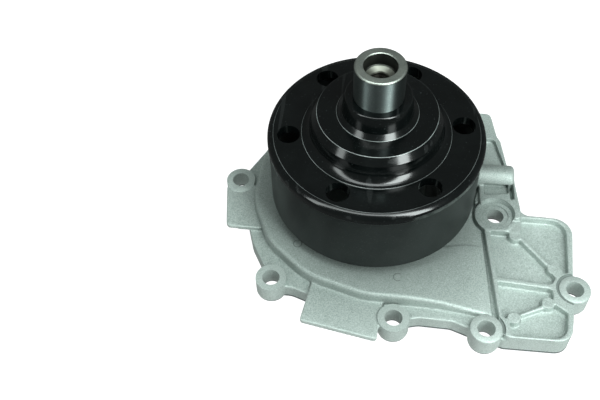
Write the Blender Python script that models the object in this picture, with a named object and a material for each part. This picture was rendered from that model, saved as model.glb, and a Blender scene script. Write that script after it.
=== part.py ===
"""Water pump of a car or van engine, with its belt pulley and a threaded drive shaft.

The frame's Z axis is the shaft's axis, and Z = 0 is the face that meets the engine. The shaft's free
end points up, the outlet side of the volute points to +X, and the impeller hangs below Z = 0.
Lengths below are in millimetres and become metres in the helpers.
"""

import math

import bmesh
import bpy
from mathutils import Matrix, Vector

MM = 0.001
GAP = 0.3

# Levels along the shaft's axis.
MATING_Z = 0.0
WEB_TOP = 7.5
LUG_TOP = 10.0
PLATE_TOP = 11.5
POCKET_FLOOR = 7.5
RECESS_FLOOR = 7.2
BLOCK_TOP = 13.8
ROOF_TOP = 15.0
CEILING = 11.0
NECK_TOP = 56.0
PULLEY_BACK = 22.2
PULLEY_FACE = 65.0
HUB_DISC_TOP = 79.0
HUB_TOP = 90.5
SHAFT_END = 109.3
IMPELLER_END = -15.0

# Turned sizes, as radii.
SHAFT_R = 12.4
SHAFT_REAR_R = 9.0
SLEEVE_R = 23.0
SLEEVE_BORE_R = 19.6
SEAL_SEAT_R = 19.3
PULLEY_R = 55.0
PULLEY_BODY_R = 54.4
PULLEY_WALL = 4.0
PULLEY_HOLE_R = 5.8
PULLEY_HOLE_CIRCLE_R = 44.2
PULLEY_HOLES = 6
PULLEY_HOLE_ANGLE = 8.5
IMPELLER_R = 42.0
VANES = 7
BOLT_HOLE_R = 4.5
LUG_R = 8.0
SPOT_FACE_R = 9.5

# The bearing's two rows of rolling elements.
BALLS = 9
BALL_R = 3.3
BALL_CIRCLE_R = 16.0
BALL_ROW_Z = 49.0
ROLLERS = 10
ROLLER_R = 2.9
ROLLER_LENGTH = 12.0
ROLLER_CIRCLE_R = 15.9
ROLLER_ROW_Z = 34.0
SLEEVE_BACK = 22.8
SLEEVE_FRONT = 58.8

# Bolt holes of the flange: x, y. The counterbored one stands beside the outlet.
LUGS = [(-74, 6), (-49, -57), (15, -75), (60.5, -77.5), (105.5, -51), (34.5, 56), (-36.5, 68.5)]
SPOT_FACED_LUGS = [3, 4]
RING_HOLE = (67, -8)
COUNTERBORE_R = 9.8
COUNTERBORE_FLOOR = 11.3
RING_SEAT_R = 7.0
RING_SEAT_Z = 10.8

# The volute's roof leans down from here towards the outlet, by this share of its height per mm.
SLOPE_START = 20.0
SLOPE = 0.008
# The roof ends along this line: a point on it, and the direction that leaves the roof.
ROOF_END = (63.9, -69.5)
ROOF_END_NORMAL = (52.0, 4.7)

# Outlines in the mating plane: x, y, corner radius.
FLANGE = [
    (-71.5, 14, 5),
    (-61.5, 33, 40),
    (-57.5, 47, 20),
    (-48, 57, 8),
    (-43.5, 61, 2),
    (-30, 70.8, 2),
    (-10, 71.5, 20),
    (12, 61, 20),
    (28, 60.5, 2),
    (42, 50.5, 2),
    (48, 46.8, 6),
    (62.5, 46.3, 5),
    (66.3, 38, 5),
    (78.4, 12, 2),
    (80.3, -6.4, 6),
    (107.9, -7.1, 10),
    (105.3, -41, 2),
    (104.3, -62, 2),
    (101.6, -81.6, 8),
    (70, -81.5, 3),
    (52, -76, 4),
    (44, -73, 8),
    (28, -72.5, 8),
    (22, -74, 3),
    (6, -73, 3),
    (-2, -70.5, 6),
    (-22, -66.5, 30),
    (-38, -60.5, 10),
    (-43, -60.5, 2),
    (-54.5, -47.5, 3),
    (-62, -34, 20),
    (-68, -15, 40),
    (-69.5, -1, 5),
]
VOLUTE = [
    (29, -36.5, 1.5),
    (43, -19, 20),
    (48, 0, 25),
    (46, 20, 25),
    (33, 42, 25),
    (12, 55, 20),
    (-8, 65.5, 25),
    (-30, 65, 20),
    (-52, 46, 25),
    (-63, 20, 35),
    (-64.5, -10, 35),
    (-53, -37, 35),
    (-30, -57, 40),
    (0, -66, 40),
    (35, -65, 60),
    (65, -71, 7),
    (59, -26, 7),
    (48, -30, 20),
]
GASKET_OUTLET = [(73, -67, 3), (67.5, -26, 3)]
ROOF = [
    (54, 4, 6),
    (46, 20, 25),
    (33, 42, 25),
    (12, 55, 20),
    (-8, 65.5, 25),
    (-30, 65, 20),
    (-52, 46, 25),
    (-63, 20, 35),
    (-64.5, -10, 35),
    (-53, -37, 35),
    (-30, -57, 40),
    (0, -66, 40),
    (35, -66, 60),
    (76, -71.4, 7),
    (76, -12, 3),
    (57.5, -12, 2),
]
RIB_PLATE = [
    (60.8, -17, 1),
    (56.4, -12, 5),
    (56.4, 3, 5),
    (59, 12, 1),
    (78.4, 12, 2),
    (80.3, -6.4, 6),
    (107.9, -7.1, 10),
    (105.3, -41, 2),
    (104.3, -62, 2),
    (101.6, -81.6, 8),
    (70, -81.5, 3),
    (67.5, -76, 2),
]
TOP_PLATE = [
    (42, 40, 2),
    (56, 68.5, 5),
    (66.8, 68.5, 3.5),
    (70, 51, 1),
    (72, 47, 3),
    (74.8, 30, 2),
    (77, 20, 2),
    (50, 20, 2),
]
NORTH_BLOCK = [
    (58.5, -1, 1),
    (58.5, 24, 1),
    (77, 24, 2),
    (78.4, 10, 1),
    (80.2, -4, 2),
    (80, -11.5, 2),
    (67, -8, 1),
]
LEFT_TAB = [(-81.5, 3, 3), (-77.3, -26, 3), (-58, -26.3, 1), (-60, 3, 1)]
BOTTOM_TAB = [(-27, -52, 1), (-31.8, -80, 1.5), (7, -87.5, 1.5), (10, -60, 1)]
UPPER_POCKET = [
    (63.9, -18.3, 1),
    (66.2, -46.9, 2),
    (93.8, -49.1, 1.5),
    (96.4, -45, 1.5),
    (98.9, -42, 1),
    (102.8, -41.5, 1),
    (104.4, -8.4, 8.5),
    (80.7, -8.4, 1.5),
    (80, -18.3, 0.3),
]
LOWER_POCKET = [
    (66.8, -49.7, 0.8),
    (68.3, -70.3, 2),
    (71.4, -70.9, 1),
    (73, -80.1, 2),
    (99.2, -80.1, 7),
    (100.9, -65.2, 1.5),
    (95.2, -61, 0.6),
    (94.3, -57.5, 1),
    (94.3, -51.9, 2),
]
RECESS = [(50, 48.5, 1), (68.5, 48.5, 3), (73, 31, 1), (73.4, 23, 1), (50, 23, 1)]
TROUGH = [(61, 4.2, 0.5), (61, 13, 0.5), (74.3, 13, 0.5), (74.3, 6.2, 0.5)]
SLOT = [(74.9, 2.2, 1.1), (77.3, 2.2, 1.1), (77.1, 13, 0.5), (74.8, 13, 0.5)]
RING_GAP = [
    (59.4, -18.4, 0.3),
    (55.2, -12.9, 3),
    (55.2, 3, 0.5),
    (56.5, 3, 0.5),
    (56.5, -12.2, 4),
    (61.1, -17.4, 0.3),
]
UPPER_RIB = [(79.1, -22, 0.3), (80.9, -20.5, 0.3), (95, -37.8, 0.3), (93.2, -39.3, 0.3)]
UPPER_LINK = [(94.4, -42, 0.3), (97, -46.4, 0.3), (101, -44, 0.3), (99, -38.5, 0.3)]
LOWER_RIB = [(76, -69.4, 0.3), (77, -67.6, 0.3), (89.5, -60.8, 0.3), (90.4, -62.6, 0.3)]
EJECTOR_PAD_R = 3.2
EJECTOR_PADS = [(77, -20.2), (95.6, -39.5), (91.5, -60.2), (74.2, -70.2)]
INLET_TUBE_Y = 17.5
INLET_TUBE_Z = 12.8
INLET_TUBE_R = 7.0
INLET_TUBE_END = 77.2


def material(name, colour, roughness, metallic):
    made = bpy.data.materials.new(name)
    made.use_nodes = True
    shader = made.node_tree.nodes["Principled BSDF"]
    shader.inputs["Base Color"].default_value = (*colour, 1.0)
    shader.inputs["Roughness"].default_value = roughness
    shader.inputs["Metallic"].default_value = metallic
    return made


def finish(name, shape, surface=None, centre=(0.0, 0.0, 0.0)):
    """An object of this bmesh, with its origin at centre, in millimetres."""
    bmesh.ops.remove_doubles(shape, verts=shape.verts, dist=1e-7)
    bmesh.ops.recalc_face_normals(shape, faces=shape.faces)
    origin = Vector(centre) * MM
    bmesh.ops.translate(shape, verts=shape.verts, vec=-origin)
    mesh = bpy.data.meshes.new(name)
    shape.to_mesh(mesh)
    shape.free()
    made = bpy.data.objects.new(name, mesh)
    made.location = origin
    bpy.context.scene.collection.objects.link(made)
    if surface:
        mesh.materials.append(surface)
        mesh.shade_smooth()
        mesh.set_sharp_from_angle(angle=math.radians(35))
    return made


def rounded(outline, arc_step=30.0):
    """The outline's points in the plane, with every corner turned into an arc of its radius."""
    points = []
    count = len(outline)
    for index, (x, y, radius) in enumerate(outline):
        corner = Vector((x, y))
        before = Vector(outline[index - 1][:2]) - corner
        after = Vector(outline[(index + 1) % count][:2]) - corner
        half = before.angle(after) / 2
        reach = min(radius / math.tan(half), 0.48 * before.length, 0.48 * after.length)
        radius = reach * math.tan(half)
        middle = corner + (before.normalized() + after.normalized()).normalized() * radius / math.sin(half)
        start = corner + before.normalized() * reach - middle
        turn = -start.angle_signed(corner + after.normalized() * reach - middle)
        steps = max(1, math.ceil(abs(math.degrees(turn)) / arc_step))
        for step in range(steps + 1):
            points.append(middle + Matrix.Rotation(turn * step / steps, 2) @ start)
    return points


def offset(points, distance):
    """The closed line moved outwards by a distance, or inwards when it is negative."""
    count = len(points)
    area = sum(points[i - 1].cross(points[i]) for i in range(count))
    side = distance if area > 0 else -distance
    moved = []
    for index, point in enumerate(points):
        one = (point - points[index - 1]).normalized()
        two = (points[(index + 1) % count] - point).normalized()
        normal = Vector((one.y + two.y, -one.x - two.x)).normalized()
        stretch = max(0.5, normal.dot(Vector((one.y, -one.x))))
        moved.append(point + normal * side / stretch)
    return moved


def stacked(name, levels, surface=None):
    """A solid through closed lines of equal point counts: a list of (points, z) from bottom to top."""
    shape = bmesh.new()
    rings = [[shape.verts.new((p.x * MM, p.y * MM, z * MM)) for p in points] for points, z in levels]
    shape.faces.new(rings[0])
    shape.faces.new(rings[-1])
    for low, high in zip(rings, rings[1:]):
        for index in range(len(low)):
            shape.faces.new((low[index - 1], low[index], high[index], high[index - 1]))
    return finish(name, shape, surface)


def slab(name, points, bottom, top, surface=None):
    return stacked(name, [(points, bottom), (points, top)], surface)


def circle(x, y, radius, sides=20):
    angles = [2 * math.pi * step / sides for step in range(sides)]
    return [Vector((x + radius * math.cos(a), y + radius * math.sin(a))) for a in angles]


def disc(name, x, y, radius, bottom, top, sides=20):
    return slab(name, circle(x, y, radius, sides), bottom, top)


def turned(name, profile, sides, surface=None):
    """A profile of (radius, z) turned about Z, closed by its last point joining its first."""
    shape = bmesh.new()
    corners = [shape.verts.new((radius * MM, 0.0, z * MM)) for radius, z in profile]
    edges = [shape.edges.new((corners[i - 1], corners[i])) for i in range(len(corners))]
    on_axis = [edge for edge in edges if all(corner.co.x < 1e-9 for corner in edge.verts)]
    bmesh.ops.delete(shape, geom=on_axis, context="EDGES")
    bmesh.ops.spin(
        shape,
        geom=shape.verts[:] + shape.edges[:],
        axis=(0, 0, 1),
        cent=(0, 0, 0),
        angle=2 * math.pi,
        steps=sides,
    )
    return finish(name, shape, surface)


def cut_or_join(target, others, operation):
    for other in others:
        other.hide_render = True
        other.display_type = "WIRE"
        boolean = target.modifiers.new(f"{operation.lower()}_{other.name}", "BOOLEAN")
        boolean.operation = operation
        boolean.solver = "EXACT"
        boolean.object = other


def cylinder_between(name, start, end, radius, sides):
    axis = Vector(end) - Vector(start)
    shape = bmesh.new()
    bmesh.ops.create_cone(
        shape,
        cap_ends=True,
        segments=sides,
        radius1=radius * MM,
        radius2=radius * MM,
        depth=axis.length * MM,
    )
    turn = axis.to_track_quat("Z", "Y").to_matrix().to_4x4()
    place = Matrix.Translation((Vector(start) + Vector(end)) * 0.5 * MM) @ turn
    bmesh.ops.transform(shape, matrix=place, verts=shape.verts)
    return finish(name, shape)


def roof_solid(name, levels):
    """A solid of the volute whose upper side leans down towards the outlet."""
    solid = stacked(name, levels)
    shape = bmesh.new()
    shape.from_mesh(solid.data)
    everything = shape.verts[:] + shape.edges[:] + shape.faces[:]
    start = Vector((SLOPE_START * MM, 0, 0))
    bmesh.ops.bisect_plane(shape, geom=everything, plane_co=start, plane_no=(1, 0, 0), dist=1e-7)
    for corner in shape.verts:
        beyond = corner.co.x / MM - SLOPE_START
        if beyond > 0:
            corner.co.z *= 1 - SLOPE * beyond
    shape.to_mesh(solid.data)
    shape.free()
    return solid


def cut_roof_edge(roof):
    """The roof ends in an upright face, a narrow groove away from the ribbed plate."""
    shape = bmesh.new()
    shape.from_mesh(roof.data)
    everything = shape.verts[:] + shape.edges[:] + shape.faces[:]
    corner = Vector((ROOF_END[0] * MM, ROOF_END[1] * MM, 0))
    normal = Vector((*ROOF_END_NORMAL, 0))
    cut = bmesh.ops.bisect_plane(
        shape, geom=everything, plane_co=corner, plane_no=normal, dist=1e-7, clear_outer=True
    )
    rim = [item for item in cut["geom_cut"] if isinstance(item, bmesh.types.BMEdge)]
    bmesh.ops.holes_fill(shape, edges=rim, sides=0)
    bmesh.ops.recalc_face_normals(shape, faces=shape.faces)
    shape.to_mesh(roof.data)
    shape.free()


def make_housing(surface):
    """The die-cast body: flange, lugs, volute roof, ribbed plate, tabs and the bearing neck."""
    housing = slab("housing", rounded(FLANGE), MATING_Z, WEB_TOP, surface)
    line = rounded(ROOF)
    shoulder = [(0.0, 3.0), (-0.3, 10.8), (-1.6, 13.2), (-3.6, 14.6), (-5.6, ROOF_TOP)]
    roof = roof_solid("volute_roof", [(offset(line, out), z) for out, z in shoulder])
    cut_roof_edge(roof)
    raised = [roof]
    raised.append(slab("rib_plate", rounded(RIB_PLATE), 1.0, PLATE_TOP))
    raised.append(slab("north_block", rounded(NORTH_BLOCK), 2.0, BLOCK_TOP))
    raised.append(slab("top_plate", rounded(TOP_PLATE), 5.0, LUG_TOP))
    raised.append(slab("left_tab", rounded(LEFT_TAB), 7.2, 9.8))
    raised.append(slab("bottom_tab", rounded(BOTTOM_TAB), 6.2, 9.2))
    for index, (x, y) in enumerate(LUGS):
        raised.append(disc(f"lug_{index}", x, y, LUG_R, MATING_Z, LUG_TOP))
    tube_start = (48, INLET_TUBE_Y, INLET_TUBE_Z)
    tube_end = (INLET_TUBE_END, INLET_TUBE_Y, INLET_TUBE_Z)
    raised.append(cylinder_between("tube", tube_start, tube_end, INLET_TUBE_R, 20))
    neck = [(0, 12), (36, 12), (34, 15.4), (31, 17.6), (29, 21), (28, 28), (27.6, NECK_TOP - 1)]
    neck += [(26.6, NECK_TOP), (0, NECK_TOP)]
    raised.append(turned("neck", neck, 32))
    cut_or_join(housing, raised, "UNION")

    line = rounded(VOLUTE)
    cavity_shape = [(-2.6, -1.0), (-2.8, 6.8), (-4.0, 9.6), (-5.8, CEILING)]
    cut = [roof_solid("volute_cavity", [(offset(line, out), z) for out, z in cavity_shape])]
    bore = [(0, 5), (SEAL_SEAT_R, 5), (SEAL_SEAT_R, SLEEVE_BACK - GAP)]
    bore += [(SLEEVE_R + GAP, SLEEVE_BACK - GAP), (SLEEVE_R + GAP, NECK_TOP + 5), (0, NECK_TOP + 5)]
    cut.append(turned("bearing_bore", bore, 32))
    for index, (x, y) in enumerate(LUGS):
        cut.append(disc(f"bolt_hole_{index}", x, y, BOLT_HOLE_R, -1.0, LUG_TOP + 5, 16))
    for index in SPOT_FACED_LUGS:
        cut.append(disc(f"spot_face_{index}", *LUGS[index], SPOT_FACE_R, LUG_TOP, LUG_TOP + 5))
    cut.append(disc("counterbore", *RING_HOLE, COUNTERBORE_R, COUNTERBORE_FLOOR, BLOCK_TOP + 5, 32))
    cut.append(disc("ring_seat", *RING_HOLE, RING_SEAT_R, RING_SEAT_Z, BLOCK_TOP + 5))
    cut.append(disc("ring_hole", *RING_HOLE, BOLT_HOLE_R, -1.0, BLOCK_TOP + 5, 16))
    cut.append(slab("upper_pocket", rounded(UPPER_POCKET), POCKET_FLOOR, PLATE_TOP + 5))
    cut.append(slab("lower_pocket", rounded(LOWER_POCKET), POCKET_FLOOR, PLATE_TOP + 5))
    cut.append(slab("recess", rounded(RECESS), RECESS_FLOOR, LUG_TOP + 0.5))
    cut.append(slab("trough", rounded(TROUGH), PLATE_TOP - 0.5, BLOCK_TOP + 1))
    cut.append(slab("slot", rounded(SLOT), PLATE_TOP - 4, BLOCK_TOP + 1))
    cut.append(slab("ring_gap", rounded(RING_GAP), WEB_TOP + 0.7, ROOF_TOP + 1))
    cut.append(cylinder_between("weep_hole", (0, -10, 19.6), (0, -45, 19.6), 2.4, 16))
    cut_or_join(housing, cut, "DIFFERENCE")
    ribs = [slab("upper_rib", rounded(UPPER_RIB), POCKET_FLOOR - 1, PLATE_TOP - 0.3)]
    ribs.append(slab("upper_link", rounded(UPPER_LINK), POCKET_FLOOR - 1, PLATE_TOP - 0.1))
    ribs.append(slab("lower_rib", rounded(LOWER_RIB), POCKET_FLOOR - 1, PLATE_TOP - 0.8))
    for index, (x, y) in enumerate(EJECTOR_PADS):
        ribs.append(disc(f"pad_{index}", x, y, EJECTOR_PAD_R, POCKET_FLOOR - 1.1, PLATE_TOP - 0.2, 16))
    cut_or_join(housing, ribs, "UNION")


def make_gasket(surface):
    """A sheet fitted on the mating face, with the volute's opening and the eight bolt holes."""
    top = MATING_Z - GAP
    bottom = top - 0.9
    gasket = slab("gasket", rounded(FLANGE, 45), bottom, top, surface)
    ears = []
    for index, (x, y) in enumerate(LUGS):
        ears.append(disc(f"gasket_ear_{index}", x, y, LUG_R - 0.4, bottom, top, 16))
    cut_or_join(gasket, ears, "UNION")
    opening = VOLUTE[:-3] + GASKET_OUTLET + VOLUTE[-1:]
    cut = [slab("gasket_opening", rounded(opening, 45), bottom - 1, top + 1)]
    for index, (x, y) in enumerate(LUGS + [RING_HOLE]):
        cut.append(disc(f"gasket_hole_{index}", x, y, BOLT_HOLE_R + 0.3, bottom - 1, top + 1, 12))
    cut_or_join(gasket, cut, "DIFFERENCE")


def make_pulley(surface):
    """A smooth-rimmed bell pulley: rim, holed face, concave groove and the stepped hub on the shaft."""
    inner_r = PULLEY_BODY_R - PULLEY_WALL
    face = PULLEY_FACE
    back = face - 5
    profile = [
        (SHAFT_R + GAP, HUB_TOP),
        (15.6, HUB_TOP),
        (16.4, HUB_TOP - 0.8),
        (17.8, HUB_TOP - 9.4),
        (20.3, HUB_DISC_TOP),
        (29.8, HUB_DISC_TOP),
        (30.2, HUB_DISC_TOP - 0.4),
        (32.6, HUB_DISC_TOP - 4),
        (32.6, face + 5),
        (33.3, face + 2.5),
        (35.1, face + 0.7),
        (37.6, face),
        (52.2, face),
        (54.2, face - 0.8),
        (PULLEY_R, face - 2.8),
        (PULLEY_R, face - 5.4),
        (PULLEY_BODY_R, face - 6.2),
        (PULLEY_BODY_R, PULLEY_BACK + 0.6),
        (PULLEY_BODY_R - 0.6, PULLEY_BACK),
        (inner_r, PULLEY_BACK),
        (inner_r, back - 3),
        (inner_r - 3, back),
        (31, back),
        (24.6, back + 4),
        (24.6, 73.5),
        (SHAFT_R + GAP, 73.5),
    ]
    pulley = turned("pulley", profile, 44, surface)
    holes = []
    for index in range(PULLEY_HOLES):
        angle = math.radians(PULLEY_HOLE_ANGLE + 360 * index / PULLEY_HOLES)
        x = PULLEY_HOLE_CIRCLE_R * math.cos(angle)
        y = PULLEY_HOLE_CIRCLE_R * math.sin(angle)
        holes.append(disc(f"pulley_hole_{index}", x, y, PULLEY_HOLE_R, back - 8, face + 3, 16))
    cut_or_join(pulley, holes, "DIFFERENCE")
    return pulley


def make_shaft(surface):
    """The bearing's own shaft: thick in front, with an end recess, and thin behind for the impeller."""
    end = SHAFT_END
    profile = [
        (0, end - 26),
        (4.3, end - 24),
        (4.3, end - 9.5),
        (5.2, end - 8.6),
        (7.6, end - 6),
        (8.1, end - 5.4),
        (8.1, end),
        (11.7, end),
        (SHAFT_R, end - 0.8),
        (SHAFT_R, SLEEVE_BACK),
        (SHAFT_R - 0.8, SLEEVE_BACK - 0.8),
        (SHAFT_REAR_R, SLEEVE_BACK - 0.8),
        (SHAFT_REAR_R, IMPELLER_END + 3.8),
        (SHAFT_REAR_R - 0.8, IMPELLER_END + 3),
        (0, IMPELLER_END + 3),
    ]
    return turned("shaft", profile, 28, surface)


def make_impeller(surface):
    """A pressed-on impeller: a back disc, a hub and backward-curved vanes that reach into the engine."""
    bore = SHAFT_REAR_R + GAP
    profile = [
        (bore, 1.2),
        (IMPELLER_R, -0.4),
        (IMPELLER_R, -2.6),
        (20, -3.2),
        (15, -6),
        (13.5, IMPELLER_END + 1.5),
        (13, IMPELLER_END + 1),
        (bore, IMPELLER_END + 1),
    ]
    impeller = turned("impeller", profile, 36, surface)
    vanes = []
    for index in range(VANES):
        turn = 2 * math.pi * index / VANES
        low = []
        for share, side in [(s / 6, 1) for s in range(7)] + [(1 - s / 6, -1) for s in range(7)]:
            radius = 11.5 + (IMPELLER_R - 0.5 - 11.5) * share
            angle = turn + 0.95 * share + side * 1.25 / radius
            low.append((radius * math.cos(angle), radius * math.sin(angle), share))
        shape = bmesh.new()
        tops = [shape.verts.new((x * MM, y * MM, -1.6 * MM)) for x, y, share in low]
        ends = [shape.verts.new((x * MM, y * MM, (IMPELLER_END + 4 * share) * MM)) for x, y, share in low]
        shape.faces.new(tops)
        shape.faces.new(ends)
        for corner in range(len(low)):
            shape.faces.new((tops[corner - 1], tops[corner], ends[corner], ends[corner - 1]))
        bmesh.ops.triangulate(shape, faces=shape.faces[:])
        vanes.append(finish(f"vane_{index}", shape))
    cut_or_join(impeller, vanes, "UNION")
    return impeller


def make_bearing(steel, race_steel, cage_plastic, rubber):
    """The sleeve with a ball row and a roller row round the shaft, and a lip seal at each end."""
    sleeve = [
        (SLEEVE_BORE_R, SLEEVE_BACK),
        (SLEEVE_BORE_R, SLEEVE_FRONT),
        (SLEEVE_R - 0.6, SLEEVE_FRONT),
        (SLEEVE_R, SLEEVE_FRONT - 0.6),
        (SLEEVE_R, SLEEVE_BACK + 0.6),
        (SLEEVE_R - 0.6, SLEEVE_BACK),
    ]
    turned("bearing_sleeve", sleeve, 32, race_steel)
    for name, low in (("bearing_rear_seal", SLEEVE_BACK + 0.6), ("bearing_front_seal", SLEEVE_FRONT - 2.8)):
        inner = SHAFT_R + GAP
        outer = SLEEVE_BORE_R - GAP
        profile = [(inner, low), (inner, low + 2.2), (outer, low + 2.2), (outer, low)]
        turned(name, profile, 28, rubber)

    ball_centre = []
    for index in range(BALLS):
        angle = 2 * math.pi * index / BALLS
        x = BALL_CIRCLE_R * math.cos(angle)
        y = BALL_CIRCLE_R * math.sin(angle)
        ball_centre.append((x, y, BALL_ROW_Z))
        shape = bmesh.new()
        bmesh.ops.create_uvsphere(shape, u_segments=10, v_segments=6, radius=BALL_R * MM)
        bmesh.ops.translate(shape, verts=shape.verts, vec=Vector(ball_centre[-1]) * MM)
        finish(f"ball_{index + 1}", shape, steel, ball_centre[-1])
    make_cage("ball_cage", BALL_CIRCLE_R, BALL_ROW_Z, 4.6, ball_centre, BALL_R + GAP, cage_plastic)

    roller_centre = []
    for index in range(ROLLERS):
        angle = 2 * math.pi * index / ROLLERS
        x = ROLLER_CIRCLE_R * math.cos(angle)
        y = ROLLER_CIRCLE_R * math.sin(angle)
        roller_centre.append((x, y, ROLLER_ROW_Z))
        shape = bmesh.new()
        bmesh.ops.create_cone(
            shape,
            cap_ends=True,
            segments=12,
            radius1=ROLLER_R * MM,
            radius2=ROLLER_R * MM,
            depth=ROLLER_LENGTH * MM,
        )
        bmesh.ops.translate(shape, verts=shape.verts, vec=Vector(roller_centre[-1]) * MM)
        finish(f"roller_{index + 1}", shape, steel, roller_centre[-1])
    half = ROLLER_LENGTH / 2
    make_cage("roller_cage", ROLLER_CIRCLE_R, ROLLER_ROW_Z, half + 2, roller_centre, None, cage_plastic)


def make_cage(name, radius, z, half_height, centres, ball_clear_r, surface):
    """A cage ring with one window for each rolling element: round for a ball, long for a roller."""
    thick = 1.1
    profile = [
        (radius - thick, z - half_height),
        (radius - thick, z + half_height),
        (radius + thick, z + half_height),
        (radius + thick, z - half_height),
    ]
    cage = turned(name, profile, 32, surface)
    windows = []
    for index, (x, y, level) in enumerate(centres):
        outwards = Vector((x, y, 0)).normalized()
        start = Vector((x, y, level)) - outwards * 3
        end = Vector((x, y, level)) + outwards * 3
        if ball_clear_r:
            window = cylinder_between(f"{name}_window_{index}", start, end, ball_clear_r, 10)
        else:
            shape = bmesh.new()
            bmesh.ops.create_cube(shape, size=MM)
            size = (8, 2 * ROLLER_R + 2 * GAP, ROLLER_LENGTH + 2 * GAP)
            bmesh.ops.scale(shape, vec=size, verts=shape.verts)
            turn = Matrix.Rotation(math.atan2(y, x), 4, "Z")
            place = Matrix.Translation(Vector((x, y, level)) * MM) @ turn
            bmesh.ops.transform(shape, matrix=place, verts=shape.verts)
            window = finish(f"{name}_window_{index}", shape)
        windows.append(window)
    cut_or_join(cage, windows, "DIFFERENCE")


def make_water_seal(brass, rubber, steel, carbon, ceramic):
    """The mechanical seal between the volute and the bearing: a fixed spring half and a turning ring."""
    cup = [(14, 16.4), (19, 16.4), (19, 10.6), (21.2, 10.6)]
    cup += [(21.2, 9.7), (18.1, 9.7), (18.1, 15.5), (14, 15.5)]
    turned("seal_cup", cup, 24, brass)
    bellows_inner = [(10.6, 7.7), (10.6, 9.2), (12.8, 10.4), (10.9, 11.6)]
    bellows_inner += [(12.8, 12.8), (10.9, 13.9), (10.9, 15.2)]
    bellows_outer = [(radius + 1.5, z) for radius, z in reversed(bellows_inner)]
    turned("seal_bellows", bellows_inner + bellows_outer, 20, rubber)
    turned("seal_carbon", [(10.4, 4.9), (10.4, 7.4), (14, 7.4), (14, 5.6), (12.6, 4.9)], 28, carbon)
    turned("seal_ring", [(10.9, 1.9), (10.9, 4.6), (15, 4.6), (15, 1.9)], 28, ceramic)
    turned("seal_ring_boot", [(9.3, 1.5), (9.3, 4.6), (10.6, 4.6), (10.6, 1.5)], 28, rubber)
    make_seal_spring(steel)


def make_seal_spring(steel):
    """The coil that presses the carbon face against the turning ring."""
    turns = 3
    points_each = 12
    curve = bpy.data.curves.new("seal_spring", "CURVE")
    curve.dimensions = "3D"
    curve.bevel_depth = 0.6 * MM
    curve.bevel_resolution = 1
    curve.use_fill_caps = True
    spline = curve.splines.new("POLY")
    count = turns * points_each + 1
    spline.points.add(count - 1)
    for index in range(count):
        angle = 2 * math.pi * index / points_each
        z = 8.6 + 5.6 * index / (count - 1)
        spline.points[index].co = (16.5 * MM * math.cos(angle), 16.5 * MM * math.sin(angle), z * MM, 1)
    spring = bpy.data.objects.new("seal_spring", curve)
    curve.materials.append(steel)
    bpy.context.scene.collection.objects.link(spring)


def clear_scene():
    for old in list(bpy.data.objects):
        bpy.data.objects.remove(old, do_unlink=True)


def parent_rotor(pieces):
    """The pieces that turn with the shaft hang on one empty on the shaft's axis."""
    pivot = bpy.data.objects.new("shaft_axis", None)
    bpy.context.scene.collection.objects.link(pivot)
    for piece in pieces:
        piece.parent = pivot


def main():
    clear_scene()
    aluminium = material("cast_aluminium", (0.43, 0.48, 0.46), 0.45, 0.7)
    gasket_sheet = material("gasket_sheet", (0.065, 0.085, 0.085), 0.8, 0.0)
    black_coat = material("black_coat", (0.006, 0.007, 0.007), 0.22, 0.0)
    ground_steel = material("ground_steel", (0.42, 0.44, 0.43), 0.22, 1.0)
    race_steel = material("race_steel", (0.50, 0.50, 0.50), 0.3, 1.0)
    bright_steel = material("bright_steel", (0.62, 0.62, 0.63), 0.12, 1.0)
    cage_plastic = material("cage_plastic", (0.55, 0.48, 0.35), 0.5, 0.0)
    rubber = material("rubber", (0.015, 0.015, 0.015), 0.6, 0.0)
    brass = material("brass", (0.70, 0.52, 0.22), 0.3, 1.0)
    carbon = material("carbon", (0.03, 0.03, 0.03), 0.4, 0.0)
    ceramic = material("ceramic", (0.75, 0.72, 0.66), 0.25, 0.0)
    pressed_steel = material("pressed_steel", (0.36, 0.36, 0.35), 0.4, 1.0)

    make_housing(aluminium)
    make_gasket(gasket_sheet)
    make_bearing(bright_steel, race_steel, cage_plastic, rubber)
    make_water_seal(brass, rubber, bright_steel, carbon, ceramic)
    parent_rotor([make_pulley(black_coat), make_shaft(ground_steel), make_impeller(pressed_steel)])


main()
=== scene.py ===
"""Looks for the water pump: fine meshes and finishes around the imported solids.

Lengths are in millimetres until MM turns them into metres. The frame is the pump's own: Z is the
shaft's axis, Z = 0 the mating face, and the outlet side of the volute points to +X.
"""

import math

import bmesh
import bpy
from mathutils import Matrix, Vector


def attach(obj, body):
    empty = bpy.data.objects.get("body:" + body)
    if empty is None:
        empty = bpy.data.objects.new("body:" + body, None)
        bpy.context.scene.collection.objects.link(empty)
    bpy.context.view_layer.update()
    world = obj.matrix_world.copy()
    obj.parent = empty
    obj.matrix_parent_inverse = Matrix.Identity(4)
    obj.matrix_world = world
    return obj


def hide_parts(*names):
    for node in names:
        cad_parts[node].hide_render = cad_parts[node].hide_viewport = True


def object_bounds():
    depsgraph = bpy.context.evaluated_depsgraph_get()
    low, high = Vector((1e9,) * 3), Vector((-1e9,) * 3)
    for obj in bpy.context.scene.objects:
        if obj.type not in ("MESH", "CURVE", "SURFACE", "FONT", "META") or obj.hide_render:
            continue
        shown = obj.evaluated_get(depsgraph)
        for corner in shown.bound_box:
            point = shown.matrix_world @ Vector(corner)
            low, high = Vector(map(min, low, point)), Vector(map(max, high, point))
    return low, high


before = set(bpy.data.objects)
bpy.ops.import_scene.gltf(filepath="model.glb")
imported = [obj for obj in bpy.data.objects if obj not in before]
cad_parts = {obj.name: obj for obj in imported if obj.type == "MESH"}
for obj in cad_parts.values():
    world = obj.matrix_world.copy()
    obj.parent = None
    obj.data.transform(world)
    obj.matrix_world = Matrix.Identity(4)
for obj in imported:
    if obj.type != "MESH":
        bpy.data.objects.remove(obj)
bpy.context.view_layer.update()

MM = 0.001

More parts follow.
